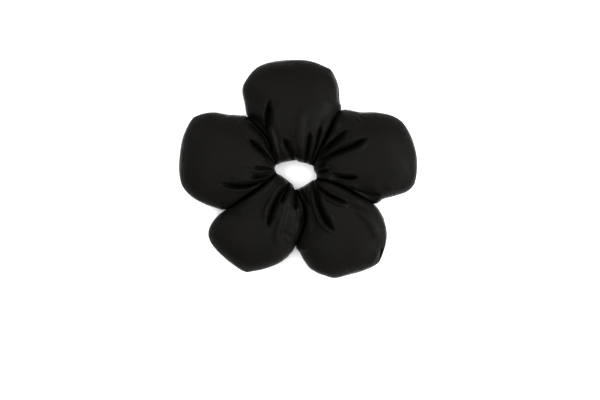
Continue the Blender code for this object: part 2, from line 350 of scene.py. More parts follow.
# %% Raise it into a cushion
PUFF_FRONT, PUFF_BACK = 15.0, 13.3  # how far the two panels stand off the seam at their highest
ELASTIC_SHARE, ROUND_ELASTIC = 0.78, 0.13  # most of the rise is round the elastic, in the first 13% outward
HIGHEST = 0.48  # the petal is highest about halfway out, and falls to its tip from there
TIP_BLUNTNESS, ROOT_BLUNTNESS = 2.6, 7.0  # 2 is a round section; near the hole petals press each other square
SQUARE_UNTIL = 0.55


def smoothstep(x):
    """0 below 0, 1 above 1, and an S-curve between."""
    x = np.clip(x, 0, 1)
    return x * x * (3 - 2 * x)


def cushion_height():
    """How far a pouch stands off its seam, from 0 to 1, over the grid."""
    s = np.linspace(0, 1, ROWS)[:, None]
    t = np.linspace(0, 1, COLUMNS)[None, :]
    over_elastic = np.sqrt(1 - (1 - np.clip(s / ROUND_ELASTIC, 0, 1)) ** 2)
    rise = ELASTIC_SHARE * over_elastic + (1 - ELASTIC_SHARE) * smoothstep(s / 0.5)
    fall = np.sqrt(1 - np.clip((s - HIGHEST) / (1 - HIGHEST), 0, 1) ** TIP_BLUNTNESS)
    bluntness = TIP_BLUNTNESS + (ROOT_BLUNTNESS - TIP_BLUNTNESS) * (1 - smoothstep(s / SQUARE_UNTIL))
    across = np.sqrt(1 - np.abs(2 * t - 1) ** bluntness)
    return rise * fall * across


halfway = cushion_height()[ROWS // 2]
print("halfway out, from the seam to the middle:", [round(float(h), 2) for h in halfway[:COLUMNS // 2:5]])


# %% Press in the fold lines
FOLD_START, FOLD_SPREAD = 0.3, 1.3  # a fold deepens over its first 30%, and is wider here than once creased


def along_fold(line, points):
    """For each point: how far along the fold line it is, from 0 to 1, and its offset from the line."""
    path = smooth_line(line, 80)
    away = points[:, None] - path[None]
    nearest = np.linalg.norm(away, axis=2).argmin(1)
    return nearest / (len(path) - 1), away[np.arange(len(points)), nearest]


def fold_depth(petal, points):
    """How deep the folds are at some points of the plan, before the filling."""
    depth = np.zeros(len(points))
    for line, deepest, half_width in FOLDS[petal]:
        if deepest > 0:
            along, offset = along_fold(line, points)
            distance = np.linalg.norm(offset, axis=1)
            trough = np.exp(-(distance / half_width / FOLD_SPREAD) ** 2)
            depth = np.maximum(depth, deepest * smoothstep(along / FOLD_START) * trough)
    return depth


for petal in PETALS:
    on_plan = fold_depth(petal, plan_grid(petal).reshape(-1, 2))
    print("petal", petal, "has folds over", round(100 * float((on_plan > 0.5).mean())), "% of its plan")

# %% Work out the flat pattern
GATHER = 0.55  # extra width of cloth at the hole, as a share of the cushion's own curve
EASE = 1.02  # extra length of cloth


def flat_pattern(plan, height):
    """The plan spread out to the shape the cloth was cut to, which is longer, and wider at the hole."""
    middle = plan[:, COLUMNS // 2]
    s = np.linspace(0, 1, ROWS)
    row_width = np.linalg.norm(np.diff(plan, axis=1), axis=2).sum(1)
    row_curve = np.sqrt((np.diff(plan, axis=1) ** 2).sum(2) + np.diff(height, axis=1) ** 2).sum(1)
    gather = 1 + GATHER * np.clip(1 - s / 0.5, 0, 1) ** 1.5
    spread = (row_curve / row_width * gather)[:, None, None]
    step = np.linalg.norm(np.diff(middle, axis=0), axis=1)
    curve = np.sqrt(step ** 2 + np.diff(height[:, COLUMNS // 2]) ** 2)
    direction = np.diff(middle, axis=0) / step[:, None]
    spine = np.vstack([[0, 0], np.cumsum(direction * curve[:, None] * EASE, axis=0)]) + middle[0]
    return spine[:, None] + (plan - middle[:, None]) * spread


def pouch_points(petal):
    """The rough cushion and its flat pattern as (front, back, flat) grids of 3-D points, in millimetres."""
    plan = plan_grid(petal)
    height = cushion_height()
    folds = fold_depth(petal, plan.reshape(-1, 2)).reshape(ROWS, COLUMNS) * np.clip(height * 1.6, 0, 1)
    front = np.dstack([plan, height * PUFF_FRONT - folds * 0.5])
    back = np.dstack([plan, -np.minimum(height * PUFF_BACK * 1.08, PUFF_BACK) + folds * 0.5])
    cut = flat_pattern(plan, height * PUFF_FRONT)
    flat = np.dstack([cut, np.zeros(plan.shape[:2])])
    return front, back, flat


def total_length(grid, axis):
    """The length of each grid line that runs along an axis, in whole millimetres."""
    return np.linalg.norm(np.diff(grid, axis=axis), axis=2).sum(axis).round().astype(int)


for petal in PETALS:
    cut = pouch_points(petal)[2]
    long, wide = total_length(cut, 0), total_length(cut, 1)
    print("panel", petal, "is cut", long.max(), "mm long,", wide.max(), "mm wide, and", wide[0],
          "mm wide at the hole, which is gathered to", total_length(plan_grid(petal), 1)[0], "mm")

# %% Build the pouches for the solver
SIM_SCALE = 0.01  # one millimetre becomes a centimetre
HOLD_SEAM = 0.55  # how firmly the outer seam is held in its place, from 0 to 1


def grid_faces(index):
    """Quads over a grid of vertex numbers."""
    return [
        (index[i, j], index[i + 1, j], index[i + 1, j + 1], index[i, j + 1])
        for i in range(index.shape[0] - 1) for j in range(index.shape[1] - 1)
    ]


def pouch_numbers():
    """Vertex numbers of the front grid and the back grid, which share their rim."""
    front = np.arange(ROWS * COLUMNS).reshape(ROWS, COLUMNS)
    back = front.copy()
    inner = (ROWS - 2) * (COLUMNS - 2)
    back[1:-1, 1:-1] = ROWS * COLUMNS + np.arange(inner).reshape(ROWS - 2, COLUMNS - 2)
    return front, back


def hold_weights():
    """How firmly each grid point is held: the valleys and the hole's edge most, the outer seam less."""
    weight = np.zeros((ROWS, COLUMNS))
    s = np.linspace(0, 1, ROWS)
    valley = np.where(s < 0.5, 1.0, np.interp(s, (0.5, 0.62), (1.0, HOLD_SEAM)))
    weight[:, 0] = valley
    weight[:, -1] = valley
    weight[-1] = HOLD_SEAM
    weight[0] = 1.0
    return weight


def make_pouch(petal):
    """A closed mesh with the rough cushion as its basis, and the flat pattern as its rest shape."""
    front_numbers, back_numbers = pouch_numbers()
    front, back, flat = pouch_points(petal)
    count = back_numbers.max() + 1
    points, rest, hold = np.zeros((count, 3)), np.zeros((count, 3)), np.zeros(count)
    weight = hold_weights()
    for numbers, shape in ((back_numbers, back), (front_numbers, front)):
        points[numbers.ravel()] = shape.reshape(-1, 3)
        rest[numbers.ravel()] = flat.reshape(-1, 3)
        hold[numbers.ravel()] = weight.ravel()
    faces = grid_faces(front_numbers) + [face[::-1] for face in grid_faces(back_numbers)]
    mesh = bpy.data.meshes.new(f"pouch_{petal}")
    mesh.from_pydata((points * SIM_SCALE).tolist(), [], faces)
    pouch = add_object(f"pouch_{petal}", mesh)
    pouch.shape_key_add(name="Cushion")
    pattern = pouch.shape_key_add(name="Pattern")
    pattern.data.foreach_set("co", (rest * SIM_SCALE).ravel())
    group = pouch.vertex_groups.new(name="held")
    for number, value in enumerate(hold):
        if value > 0:
            group.add([number], value, "REPLACE")
    return pouch


pouches = {petal: make_pouch(petal) for petal in PETALS}
print(len(pouches), "pouches of", len(pouches[1].data.vertices), "points each")

# %% Set up the cloth
PRESSURE, BENDING = 6.0, 0.8


def add_cloth(pouch):
    """Thin, slippery cloth that hardly stretches, blown up from inside."""
    cloth = pouch.modifiers.new("Cloth", "CLOTH")
    settings = cloth.settings
    settings.quality = 6
    settings.mass = 0.15
    settings.air_damping = 3.0
    settings.tension_stiffness = 30.0
    settings.compression_stiffness = 30.0
    settings.shear_stiffness = 8.0
    settings.bending_stiffness = BENDING
    settings.bending_damping = 1.0
    settings.vertex_group_mass = "held"
    settings.pin_stiffness = 1.0
    settings.rest_shape_key = pouch.data.shape_keys.key_blocks["Pattern"]
    settings.use_pressure = True
    settings.uniform_pressure_force = PRESSURE
    settings.effector_weights.gravity = 0.0
    cloth.collision_settings.use_collision = False


for pouch in pouches.values():
    add_cloth(pouch)
print("air pressure", PRESSURE, "and bending stiffness", BENDING, "in the solver's units")

# %% Fill the pouches
FRAMES = 26  # by then the cloth has come to rest


def filled_pouches():
    """Runs the solver over all pouches at once and returns their (front, back) grids in millimetres."""
    for number in range(1, FRAMES + 1):
        bpy.context.scene.frame_set(number)
    graph = bpy.context.evaluated_depsgraph_get()
    grids = {}
    for petal, pouch in pouches.items():
        settled = pouch.evaluated_get(graph).data
        points = np.zeros(len(settled.vertices) * 3)
        settled.vertices.foreach_get("co", points)
        points = points.reshape(-1, 3) / SIM_SCALE
        grids[petal] = tuple(points[numbers] for numbers in pouch_numbers())
        bpy.data.objects.remove(pouch, do_unlink=True)
    bpy.context.scene.frame_set(1)
    return grids


grids = filled_pouches()
for petal, (front, back) in grids.items():
    print("petal", petal, "front rises", round(float(front[..., 2].max()), 1),
          "mm, back falls", round(float(back[..., 2].min()), 1), "mm")

# %% [markdown]
# ## Pressing and creasing
#
# The solver fills each pouch alone. On the real flower the petals press flat against their neighbours,
# lie on the table, and have been creased by the elastic. These three things are put in afterwards, on a
# grid twice as fine: the cloth beside a valley is squared up so that the petals meet in a crisp line, the
# back is held above the table, and the folds are pinched in along their lines.


# %% Finer grid
def finer(grid):
    """The same surface with twice as many cells each way."""
    for axis in (0, 1):
        line = np.moveaxis(grid, axis, 0)
        longer = np.concatenate([2 * line[:1] - line[1:2], line, 2 * line[-1:] - line[-2:-1]])
        between = (9 * (longer[1:-2] + longer[2:-1]) - longer[:-3] - longer[3:]) / 16
        doubled = np.empty((2 * len(line) - 1, *line.shape[1:]))
        doubled[::2] = line
        doubled[1::2] = between
        grid = np.moveaxis(doubled, 0, axis)
    return grid


print("fine grid:", finer(grids[1][0]).shape)

# %% Press the petals together
SQUARED_FROM, SQUARED_POWER = 0.62, 7.0  # where the squaring starts, from middle to side, and how sharp it is
VALLEY_GAP, SEAM_LAP = 0.9, 0.3  # the cloth above and below the seams just clears, and the seams touch
APART_FROM, APART_OVER = 0.34, 0.22  # going outward, where the petals begin to part, and over what length
UPSIDE_DOWN = (1, 1, -1)


def press_together(front, plan):
    """Squares up the cloth beside both valleys, as far out as the petals touch."""
    rows, columns = front.shape[:2]
    s = np.linspace(0, 1, rows)[:, None]
    t = np.linspace(-1, 1, columns)[None, :]
    touching = 1 - smoothstep((s - APART_FROM) / APART_OVER)
    across = plan[:, -1:] - plan[:, :1]
    across /= np.linalg.norm(across, axis=2, keepdims=True)
    apart = np.repeat(touching * VALLEY_GAP / 2, columns, axis=1)
    apart[:, [0, -1]] = touching * -SEAM_LAP / 2
    plan = plan - across * (apart * t)[..., None]
    near_edge = smoothstep((np.abs(t) - SQUARED_FROM) / 0.2)
    share = touching * near_edge
    pressed = front.copy()
    for side in (-1, 1):
        shoulder_column = np.abs(t[0] - side * SQUARED_FROM).argmin()
        shoulder = front[:, shoulder_column, 2][:, None]
        u = np.clip((np.abs(t) - SQUARED_FROM) / (1 - SQUARED_FROM), 0, 1)
        squared = shoulder * np.sqrt(1 - u ** SQUARED_POWER)
        mask = share * (t * side > 0)
        pressed[..., 2] = pressed[..., 2] * (1 - mask) + np.maximum(squared, pressed[..., 2]) * mask
        pressed[..., :2] = pressed[..., :2] * (1 - mask[..., None]) + plan * mask[..., None]
    return pressed


pressed_covers = {}
for petal, (front, back) in grids.items():
    plan = finer(plan_grid(petal))
    pressed_covers[petal] = [
        press_together(finer(front), plan),
        press_together(finer(back) * UPSIDE_DOWN, plan) * UPSIDE_DOWN,
    ]
    moved = np.abs(pressed_covers[petal][0] - finer(front)).max()
    print("petal", petal, "is pressed in or out by up to", round(float(moved), 1), "mm")

# %% Crease the folds
PINCH = 0.45  # how far the cloth beside a fold leans over it, as a share of its distance from the fold
CHANNEL, CHANNEL_ROOF = (9.5, 27.0), 4.8  # this far from the hole, cloth stays this high over the elastic
HOLE_ZONE = 17.0  # a fold that ends farther from the middle of the hole than this fades out there
FOLD_DEPTH = 1.5  # the creasing goes this much deeper than the fold that the filling starts with
LIP = 0.15  # how high the cloth stands beside a fold, as a share of its depth
FLOOR_SHARE = 0.3  # no fold is deeper than 70% of the cloth's height there


def crease(petal, front):
    """Sinks the cloth along each fold, stands it up on both sides, and draws the sides together."""
    points = front.reshape(-1, 3).copy()
    height = np.clip(points[:, 2] / (0.35 * PUFF_FRONT), 0, 1)
    sink, stand, lean = np.zeros(len(points)), np.zeros(len(points)), np.zeros((len(points), 2))
    for line, deepest, half_width in FOLDS[petal]:
        along, offset = along_fold(line, points[:, :2])
        distance = np.linalg.norm(offset, axis=1)
        at_hole = np.linalg.norm(line[-1]) < HOLE_ZONE
        root_end = 1 - 0.25 * smoothstep((along - 0.8) / 0.2) if at_hole else smoothstep((1 - along) / 0.35)
        strength = smoothstep(along / 0.25) * root_end * height
        if deepest < 0:
            stand -= deepest * strength * np.exp(-(distance / half_width) ** 2)
            continue
        u = distance / (half_width * (0.35 + 0.6 * smoothstep(along / 0.3)) * (0.98 - 0.45 * along))
        trough = 0.85 * np.exp(-u ** 2) + 0.15 * np.exp(-(u / 2.4) ** 2)
        sink = np.maximum(sink, FOLD_DEPTH * deepest * strength * trough)
        stand += LIP * deepest * strength * np.exp(-((u - 2.9) / 1.2) ** 2)
        lean += offset * (PINCH * strength * np.exp(-(u / 1.6) ** 2))[:, None]
    columns = np.arange(front.shape[1])
    loose = np.clip(np.minimum(columns, columns[::-1]) / 4, 0, 1)
    loose = np.broadcast_to(loose, front.shape[:2]).ravel()
    radius = np.linalg.norm(points[:, :2], axis=1)
    over_channel = smoothstep((CHANNEL[1] - radius) / 3) * smoothstep((radius - CHANNEL[0]) / 3)
    bottom = FLOOR_SHARE * points[:, 2].clip(0)
    bottom = np.minimum(points[:, 2], bottom + (CHANNEL_ROOF - bottom) * over_channel)
    points[:, 2] += (stand - np.minimum(sink, points[:, 2] - bottom)) * loose
    points[:, :2] -= lean * loose[:, None]
    return points.reshape(front.shape)


# %% Pucker the seam
RIPPLE, PUCKER = 4.5, 0.5  # spacing and height of the ripples beside the seam
RIPPLE_REACH = 3.5  # how far from the seam they die out
SEAM_SINK = 0.2  # how far the stitches pull the seam in


def pucker_seam(grid, phase):
    """Ripples square to the outer seam that soon die out, and the seam itself drawn in."""
    rows, columns = grid.shape[:2]
    s = np.linspace(0, 1, rows)[:, None]
    across = np.minimum(np.arange(columns), np.arange(columns)[::-1])[None, :] * 0.5
    from_tip = np.arange(rows)[::-1][:, None] * 0.55
    distance = np.minimum(across + 100 * (1 - smoothstep((s - 0.5) / 0.15)), from_tip)
    normal = np.cross(np.gradient(grid, axis=0), np.gradient(grid, axis=1))
    normal /= np.linalg.norm(normal, axis=2, keepdims=True) + 1e-9
    middle = grid[rows // 2, columns // 2]
    away = grid - middle
    turn = np.arctan2(away[..., 1], away[..., 0])
    circle = 30 / RIPPLE  # ripples are counted round a circle about as large as a petal
    ripple = np.array([
        noise.noise(Vector((math.cos(a) * circle, math.sin(a) * circle, phase))) for a in turn.ravel()
    ]).reshape(rows, columns)
    fading = np.exp(-distance / RIPPLE_REACH) * np.clip(distance / 1.5, 0, 1)
    puckered = grid + normal * (ripple * PUCKER * fading)[..., None]
    inward = -away * (1, 1, 0)
    inward /= np.linalg.norm(inward, axis=2, keepdims=True) + 1e-9
    return puckered + inward * (SEAM_SINK * np.exp(-(distance / 0.7) ** 2))[..., None]


# %% Lay on the table and finish the covers
FLAT_EDGE = 1.5  # how gently the back turns from round to flat where it meets the table


def on_table(grid):
    """Keeps a grid above the table, with a soft start so that the edge of the flat part is round."""
    grid = grid.copy()
    depth = FLAT_EDGE - PUFF_BACK - grid[..., 2]
    resting = FLAT_EDGE * np.exp(-depth.clip(0) / FLAT_EDGE) - PUFF_BACK
    grid[..., 2] = np.where(depth > 0, resting, grid[..., 2])
    return grid


covers = {}
for petal, (front, back) in pressed_covers.items():
    front = crease(petal, pucker_seam(front, petal))
    back = on_table(pucker_seam(back, petal + 0.4))
    back[[0, -1]] = front[[0, -1]]
    back[:, [0, -1]] = front[:, [0, -1]]
    covers[petal] = front, back
    print("petal", petal, "reaches from", round(float(back[..., 2].min()), 1), "to",
          round(float(front[..., 2].max()), 1), "mm round its seam")

# %% [markdown]
# ## Black satin
#
# The petals are polyester satin: filament yarn, woven so that each warp thread floats over four weft
# threads before it dips under one. The long floats lie side by side like brushed hair and give a soft,
# broad shine with a dull black underneath. The weave is drawn on the flat pattern, so it turns and
# bunches with the cloth. Real floats are about 0.1 mm wide. They are drawn 0.3 mm wide here, which is the
# least that shows close up.

# %% Satin material
FLOAT_WIDTH, FLOAT_LENGTH = 0.3 * MM, 1.5 * MM
SLUB_LENGTH, SLUB_WIDTH = 16.7 * MM, 1.11 * MM  # yarns are not quite even: a thick stretch is a slub
CLOUD, CRUMPLE = 26.3 * MM, 7.7 * MM  # how large the uneven patches of dye and the handling creases are


def satin():
    """Woven polyester satin, dyed a warm black.

    Nearly all of what is seen is the dull ground between the floats, so its gloss is kept very low. A higher
    one would put a pale rim round every petal. Its roughness varies with the slubs."""
    material, tree = blank_material("black_polyester_satin_woven")
    grain = node(tree, "ShaderNodeUVMap", {"uv_map": "Weave"}).outputs[0]
    weave = node(
        tree, "ShaderNodeTexBrick", {"offset": 0.4, "offset_frequency": 1}, Vector=grain, Scale=1.0,
        Brick_Width=FLOAT_LENGTH, Row_Height=FLOAT_WIDTH, Mortar_Size=FLOAT_WIDTH * 0.22, Mortar_Smooth=1.0,
        Color1=linear("#FFFFFF"), Color2=(0.8, 0.8, 0.8, 1), Mortar=(0, 0, 0, 1))
    along_yarn = node(tree, "ShaderNodeMapping", Vector=grain, Scale=(1 / SLUB_LENGTH, 1 / SLUB_WIDTH, 1))
    slubs = node(tree, "ShaderNodeTexNoise", Vector=along_yarn.outputs[0], Scale=1.0, Detail=3.0,
                 Roughness=0.6)
    clouds = node(tree, "ShaderNodeTexNoise", Vector=grain, Scale=1 / CLOUD, Detail=2.0)
    tone = node(tree, "ShaderNodeMix", {"data_type": "RGBA"}, Factor=clouds.outputs[0],
                _6=linear("#080806"), _7=linear("#0B0A09"))
    gloss = node(tree, "ShaderNodeMapRange", Value=slubs.outputs[0], To_Min=0.31, To_Max=0.43)
    crumple = node(tree, "ShaderNodeTexNoise", Vector=grain, Scale=1 / CRUMPLE, Detail=3.0, Roughness=0.55)
    soft = node(tree, "ShaderNodeBump", Strength=0.25, Distance=0.5 * MM, Height=crumple.outputs[0])
    yarn = node(tree, "ShaderNodeBump", Strength=0.35, Distance=0.05 * MM, Height=slubs.outputs[0],
                Normal=soft.outputs[0])
    floats = node(tree, "ShaderNodeBump", Strength=0.5, Distance=0.06 * MM, Height=weave.outputs[0],
                  Normal=yarn.outputs[0])
    shader = node(tree, "ShaderNodeBsdfPrincipled", Base_Color=tone.outputs[2], Roughness=gloss.outputs[0],
                  Normal=floats.outputs[0], Metallic=0.0, IOR=1.5, Specular_IOR_Level=0.016)
    node(tree, "ShaderNodeOutputMaterial", Surface=shader.outputs[0])
    return material


BLACK_SATIN = satin()
print("satin:", len(BLACK_SATIN.node_tree.nodes), "nodes, floats", round(FLOAT_WIDTH / MM, 2), "mm wide")


# %% Sew the panels
def to_frame(grid):
    """Flower millimetres to frame metres."""
    moved = grid + np.array((HOLE[0], HOLE[1], SEAM_Z))
    return moved * MM


def soft_object(name, mesh, material):
    """A smooth-shaded object of one material."""
    mesh.materials.append(material)
    mesh.polygons.foreach_set("use_smooth", np.ones(len(mesh.polygons), bool))
    return add_object(name, mesh)


def grid_object(name, points, pattern, material):
    """A sheet of quads over a grid of points, with the flat pattern as its weave coordinates."""
    mesh = bpy.data.meshes.new(name)
    index = np.arange(points.size // 3).reshape(points.shape[:2])
    mesh.from_pydata(points.reshape(-1, 3).tolist(), [], grid_faces(index))
    layer = mesh.uv_layers.new(name="Weave")
    flat = pattern[..., :2].reshape(-1, 2) * MM
    for loop in mesh.loops:
        layer.data[loop.index].uv = flat[loop.vertex_index]
    return soft_object(name, mesh, material)


CLOTH_THICKNESS = 0.3


def sew_panel(petal, side, grid):
    """One panel of a petal, with the thickness of its cloth. The back one faces down."""
    points = grid[:, ::-1] if side == "back" else grid
    pattern = finer(pouch_points(petal)[2])
    panel = grid_object(f"petal_{petal}_{side}_panel", to_frame(points), pattern, BLACK_SATIN)
    thick = panel.modifiers.new("Cloth", "SOLIDIFY")
    thick.thickness = CLOTH_THICKNESS * MM
    thick.offset = -1.0
    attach(panel, f"petal_{petal}")
    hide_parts(f"petal_{petal}_{side}")


for petal, (front, back) in covers.items():
    sew_panel(petal, "front", front)
    sew_panel(petal, "back", back)
print("sewn:", 2 * len(covers), "panels")

# %% [markdown]
# ## Wadding
#
# Inside each pouch is a handful of loose polyester fibre. Nobody sees it while the seams hold, but it is
# what keeps the petal round, so it is made as the lumpy inner form that the cover wraps, a little smaller
# all round and stopping short of the channel for the elastic.


# %% Wadding material
WAVE_REPEAT = 0.31  # a wave texture of scale 1 repeats about every 0.31 m
TUFT, STRAND = 6.25 * MM, 0.517 * MM  # real fibres are far finer: these are the bundles that they cling in


def fibre_material():
    """Crimped, carded polyester fibre: bright white and matt, in soft tufts with fine strands over them."""
    material, tree = blank_material("polyester_fibre_carded")
    place = node(tree, "ShaderNodeTexCoord").outputs["Object"]
    swirl = node(tree, "ShaderNodeTexNoise", Vector=place, Scale=1 / TUFT, Detail=4.0, Distortion=1.5)
    strands = node(tree, "ShaderNodeTexWave", {"wave_type": "BANDS"}, Vector=place,
                   Scale=WAVE_REPEAT / STRAND, Distortion=14.0, Detail=4.0, Detail_Scale=2.0)
    tone = node(tree, "ShaderNodeMix", {"data_type": "RGBA"}, Factor=swirl.outputs[0],
                _6=linear("#E4E3DE"), _7=linear("#FAFAF7"))
    lumps = node(tree, "ShaderNodeBump", Strength=0.8, Distance=0.6 * MM, Height=swirl.outputs[0])
    hairs = node(tree, "ShaderNodeBump", Strength=0.5, Distance=0.2 * MM, Height=strands.outputs[0],
                 Normal=lumps.outputs[0])
    shader = node(tree, "ShaderNodeBsdfPrincipled", Base_Color=tone.outputs[2], Roughness=0.95,
                  Normal=hairs.outputs[0], Sheen_Weight=0.4)
    node(tree, "ShaderNodeOutputMaterial", Surface=shader.outputs[0])
    return material


FIBRE = fibre_material()
print("fibre: tufts", round(TUFT / MM, 1), "mm across, strands", round(STRAND / MM, 2), "mm apart")


# %% Shape the wadding
COARSER = 6  # the wadding keeps every sixth point of the cover
FROM_SEAM, FROM_HOLE = 5, 26  # grid cells left empty at the seams, and over the elastic's channel
THINNEST = 0.3  # half the thickness of the wadding under a deep fold


def stuff(petal, front, back):
    """The inner form: some of the cover's points, drawn in from the seam, both panels and the folds."""
    step = COARSER
    columns = np.arange(FROM_SEAM, front.shape[1] - FROM_SEAM, step)
    rows = np.arange(FROM_HOLE, front.shape[0] - FROM_SEAM - 1, step)
    layers = []
    for grid in (front, back):
        layer = grid[np.ix_(rows, columns)].copy()
        for i, row in enumerate(rows):
            for j, column in enumerate(columns):
                around = np.abs(grid[row - step:row + step + 1, max(column - step, 0):column + step + 1, 2])
                layer[i, j, 2] = np.sign(layer[i, j, 2]) * max(around.min() * 0.85 - 0.8, THINNEST)
        for point in layer.reshape(-1, 3):
            point[2] *= 1 + 0.07 * noise.noise(Vector(point) * 0.16)
        layers.append(layer)
    bm = bmesh.new()
    verts = [[[bm.verts.new(to_frame(point)) for point in row] for row in layer] for layer in layers]
    last_row, last_column = len(rows) - 1, len(columns) - 1
    for i in range(last_row):
        for j in range(last_column):
            for layer in verts:
                bm.faces.new((layer[i][j], layer[i + 1][j], layer[i + 1][j + 1], layer[i][j + 1]))
    edge = [(i, 0) for i in range(last_row)] + [(last_row, j) for j in range(last_column)]
    edge += [(i, last_column) for i in range(last_row, 0, -1)] + [(0, j) for j in range(last_column, 0, -1)]
    for a, b in zip(edge, edge[1:] + edge[:1]):
        bm.faces.new([verts[layer][i][j] for layer, (i, j) in ((0, a), (0, b), (1, b), (1, a))])
    bmesh.ops.recalc_face_normals(bm, faces=bm.faces)
    name = f"petal_{petal}_fibre"
    form = soft_object(name, mesh_from(bm, name), FIBRE)
    rounded = form.modifiers.new("Smooth", "SUBSURF")
    rounded.levels = rounded.render_levels = 1
    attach(form, f"petal_{petal}")
    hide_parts(f"petal_{petal}_wadding")


for petal, (front, back) in covers.items():
    stuff(petal, front, back)
print("filled:", len(covers), "petals")

# %% [markdown]
# ## Elastic, its join and the gathered necks
#
# One band of flat knitted elastic runs standing on its edge through the channels of all petals. Between
# two channels it is covered by a narrow sleeve of the same satin, crowded into ring-shaped ruffles. When
# the ring is stretched these are what lengthens.


# %% The elastic's place
def run_point(petal):
    """The middle of the elastic's run in a petal, in frame metres."""
    return Vector(joints[f"petal_{petal}_tilt"]["pos_m"])


def run_direction(petal):
    """Which way the elastic runs there, counterclockwise."""
    return -Vector(joints[f"petal_{petal}_tilt"]["axis"])


OPEN_LINK = (3, 4)  # no joint joins these two bodies
STRETCHED_BY = {3: ("stretch_1_2", "stretch_2_3"), 4: ("stretch_1_5", "stretch_5_4")}


def travel(petal):
    """How far a petal's elastic moves from petal 1's when the ring is stretched to its limit."""
    moves = [Vector(joints[name]["axis"]) * joints[name]["range_m"][1] for name in STRETCHED_BY[petal]]
    return moves[0] + moves[1]


OPENING = travel(4) - travel(3)
print("petals 3 and 4 part by", [round(x / MM, 1) for x in OPENING], "mm")

# %% The elastic's path
HALF_RUN = 7.0 * MM  # in a petal the elastic is straight for this far on both sides of its middle


def bend(start, leave, end, arrive, steps):
    """Points along a curve that leaves one point and arrives at another in given directions."""
    reach = (end - start).length * 0.4
    first, second = start + leave * reach, end - arrive * reach
    shares = [k / steps for k in range(steps + 1)]
    return [
        start * (1 - t) ** 3 + first * 3 * t * (1 - t) ** 2 + second * 3 * t * t * (1 - t) + end * t ** 3
        for t in shares
    ]


def elastic_path(first, second, steps=12):
    """Points from the middle of one petal's run round the bend to the middle of the next one's.

    Between petals 3 and 4 it goes straight on into petal 4 instead, as far as these two part when the ring is
    stretched, so that it still reaches across then."""
    out = run_direction(first) * HALF_RUN
    into = run_direction(second) * HALF_RUN
    start, end = run_point(first) + out, run_point(second) - into
    before = [run_point(first) + out * k / 4 for k in range(4)]
    if (first, second) == OPEN_LINK:
        onward = [end + OPENING * k / 8 for k in range(1, 9)]
        return before + bend(start, out.normalized(), end, OPENING.normalized(), steps) + onward
    after = [run_point(second) - into * k / 4 for k in range(3, -1, -1)]
    if first == OPEN_LINK[1]:
        before = [run_point(first) - out * k / 4 for k in range(4, 0, -1)] + before
    return before + bend(start, out.normalized(), end, into.normalized(), steps) + after


# %% A tube along a path
WEAVE_ROUND = 0.03  # the weave coordinates go this far, in metres, once round a tube


def sweep(name, path, section, material):
    """A closed tube: section(share of the way) gives one ring's outward and upward offsets in metres."""
    bm = bmesh.new()
    rings = []
    for k, point in enumerate(path):
        ahead = path[min(k + 1, len(path) - 1)] - path[max(k - 1, 0)]
        outward = ahead.cross(Vector((0, 0, 1))).normalized()
        ring = section(k / (len(path) - 1))
        rings.append([bm.verts.new(point + outward * a + Vector((0, 0, b))) for a, b in ring])
    for ring, following in zip(rings, rings[1:]):
        for j in range(len(ring)):
            bm.faces.new((ring[j - 1], ring[j], following[j], following[j - 1]))
    bm.faces.new(rings[0])
    bm.faces.new(rings[-1][::-1])
    bmesh.ops.recalc_face_normals(bm, faces=bm.faces)
    along = 0.0
    layer = bm.loops.layers.uv.new("Weave")
    lengths = {}
    for k, ring in enumerate(rings):
        along += (path[k] - path[k - 1]).length if k else 0.0
        for j, vert in enumerate(ring):
            lengths[vert] = (along, j / len(ring) * WEAVE_ROUND)
    for face in bm.faces:
        for loop in face.loops:
            loop[layer].uv = lengths[loop.vert]
    return soft_object(name, mesh_from(bm, name), material)


# %% Knitted elastic
# Real stitches are 0.9 by 0.6 mm. They are drawn twice as large, which is the least that shows close up.
STITCH_ROW, STITCH = 1.8 * MM, 1.2 * MM


def elastic_material():
    """Knitted elastic: matt black polyester round rubber cores, with raised rows of stitches."""
    material, tree = blank_material("knitted_elastic_braid")
    grain = node(tree, "ShaderNodeUVMap", {"uv_map": "Weave"}).outputs[0]
    rows = node(tree, "ShaderNodeTexWave", {"wave_type": "BANDS", "bands_direction": "Y"}, Vector=grain,
                Scale=WAVE_REPEAT / STITCH_ROW, Distortion=0.4)
    stitches = node(tree, "ShaderNodeTexWave", {"wave_type": "BANDS", "bands_direction": "X"}, Vector=grain,
                    Scale=WAVE_REPEAT / STITCH, Distortion=1.0)
    knit = node(tree, "ShaderNodeMath", {"operation": "MULTIPLY"}, _0=rows.outputs[0], _1=stitches.outputs[0])
    tone = node(tree, "ShaderNodeMix", {"data_type": "RGBA"}, Factor=knit.outputs[0],
                _6=linear("#0C0C0D"), _7=linear("#232324"))
    relief = node(tree, "ShaderNodeBump", Strength=0.8, Distance=0.25 * MM, Height=knit.outputs[0])
    shader = node(tree, "ShaderNodeBsdfPrincipled", Base_Color=tone.outputs[2], Roughness=0.8,
                  Normal=relief.outputs[0], Specular_IOR_Level=0.3, Sheen_Weight=0.1)
    node(tree, "ShaderNodeOutputMaterial", Surface=shader.outputs[0])
    return material


ELASTIC = elastic_material()
print("knit: rows", round(STITCH_ROW / MM, 1), "mm apart, stitches", round(STITCH / MM, 1), "mm long")

# %% The elastic
ELASTIC_HIGH, ELASTIC_THICK = 6.0 * MM, 1.2 * MM
END_GAP = 0.15 * MM  # between one length of elastic and the next


def band_section(inward=0.0):
    """One ring of a flat band on its edge, with rounded corners."""
    corner = ELASTIC_THICK * 0.3
    half = ELASTIC_THICK / 2
    top = ELASTIC_HIGH / 2
    side = [(half, -top + corner), (half, -top / 3), (half, top / 3)]
    side += [(half, top - corner), (half - corner, top)]
    return [(a - inward, b) for a, b in side + [(-a, -b) for a, b in side]]


